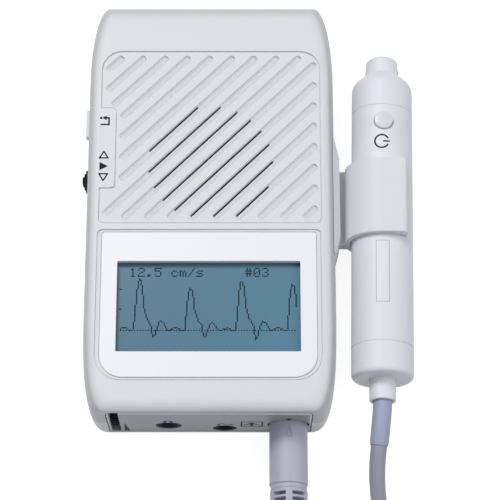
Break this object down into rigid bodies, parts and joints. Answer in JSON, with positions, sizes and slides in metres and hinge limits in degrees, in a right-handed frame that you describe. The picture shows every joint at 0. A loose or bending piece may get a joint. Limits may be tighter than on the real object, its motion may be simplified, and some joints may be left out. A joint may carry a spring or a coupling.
{
  "type": "vascular doppler",
  "caption": "Handheld vascular doppler with a display, a slotted speaker grille and end-panel sockets, and a corded pencil probe held in a clip on its side.",
  "frame": {"origin": "in the middle of the housing's flat rear face, on which the device lies", "axes": "+Z out of the front face with the display, +Y along the housing towards its top end away from the sockets, +X towards the side that holds the probe"},
  "size_m": [0.1143, 0.2723, 0.028],
  "materials": {
    "housing_shell": "fine moulded grain",
    "end_panel": "fine moulded grain",
    "display_label": "satin film",
    "lcd_glass": "clear over a blue green display",
    "backlight": "diffusing",
    "dark_plastic": "satin",
    "control_plastic": "satin",
    "button_plastic": "satin",
    "circuit_board": "solder mask",
    "speaker_metal": "stamped and painted",
    "speaker_cone": "pressed fibre",
    "speaker_magnet": "sintered and coated",
    "grille_cloth": "fine open weave",
    "contact_carrier": "moulded",
    "contact_metal": "gold plated",
    "cell_jacket": "printed jacket",
    "spring_steel": "nickel plated",
    "screw_steel": "zinc plated",
    "probe_shell": "smooth satin",
    "crystal": "ceramic with fired silver",
    "crystal_backing": "cast",
    "sheath_rubber": "matt",
    "plug_shell": "satin",
    "cord_jacket": "matt"
  },
  "bodies": {
    "housing": {"front_case": "housing_shell", "rear_case": "housing_shell", "probe_holder": "housing_shell", "end_panel": "end_panel", "display_label": "display_label", "lcd_glass": "lcd_glass", "lcd_frame": "dark_plastic", "backlight": "backlight", "main_board": "circuit_board", "io_board": "circuit_board", "speaker_frame": "speaker_metal", "speaker_cone": "speaker_cone", "speaker_magnet": "speaker_magnet", "grille_cloth": "grille_cloth", "volume_pot": "dark_plastic", "headphone_jack": "dark_plastic", "output_jack": "dark_plastic", "probe_socket": "dark_plastic", "socket_core": "contact_carrier", "battery_cells": "cell_jacket", "battery_springs": "spring_steel", "contact_plates": "spring_steel", "mode_switch": "dark_plastic", "jog_switch": "dark_plastic", "case_screws": "screw_steel", "board_screws": "screw_steel", "holder_screws": "screw_steel", "cord_to_probe": "cord_jacket", "cord_coil": "cord_jacket", "cord_to_plug": "cord_jacket"},
    "volume_wheel": {"volume_wheel": "control_plastic"},
    "mode_button": {"mode_button": "button_plastic"},
    "jog_carrier": {"jog_carrier": "dark_plastic"},
    "jog_lever": {"jog_lever": "control_plastic"},
    "battery_cover": {"battery_cover": "housing_shell"},
    "probe": {"probe_tip": "probe_shell", "probe_front_cap": "probe_shell", "probe_body": "probe_shell", "probe_rear_cap": "probe_shell", "probe_board": "circuit_board", "probe_crystals": "crystal", "probe_backing": "crystal_backing", "probe_switch": "dark_plastic", "cable_boot": "probe_shell", "strain_sheath": "sheath_rubber"},
    "probe_button": {"probe_button": "button_plastic"},
    "plug": {"plug_shell": "plug_shell", "plug_collar": "plug_shell", "plug_nut": "plug_shell", "plug_insert": "contact_carrier", "plug_contacts": "contact_metal"}
  },
  "joints": [
    {"name": "volume_turn", "type": "hinge", "parent": "housing", "child": "volume_wheel", "pos_m": [-0.029, -0.0599, 0.0114], "axis": [1, 0, 0], "range_deg": [0, 270]},
    {"name": "mode_press", "type": "slide", "parent": "housing", "child": "mode_button", "axis": [1, 0, 0], "range_m": [0, 0.0008], "stiffness_N_per_m": 800},
    {"name": "jog_press", "type": "slide", "parent": "housing", "child": "jog_carrier", "axis": [1, 0, 0], "range_m": [0, 0.0005], "stiffness_N_per_m": 1500},
    {"name": "jog_tilt", "type": "hinge", "parent": "jog_carrier", "child": "jog_lever", "pos_m": [-0.0355, 0.0096, 0.017], "axis": [0, 0, 1], "range_deg": [-8, 8], "stiffness_Nm_per_rad": 0.03},
    {"name": "cover_slide", "type": "slide", "parent": "housing", "child": "battery_cover", "axis": [0, 1, 0], "range_m": [0, 0.066]},
    {"name": "probe_pull", "type": "slide", "parent": "housing", "child": "probe", "axis": [0.0192, 0.9998, 0], "range_m": [0, 0.08]},
    {"name": "probe_press", "type": "slide", "parent": "probe", "child": "probe_button", "axis": [0, 0, -1], "range_m": [0, 0.0005], "stiffness_N_per_m": 1000},
    {"name": "plug_pull", "type": "slide", "parent": "housing", "child": "plug", "axis": [0, -1, 0], "range_m": [0, 0.009]}
  ]
}
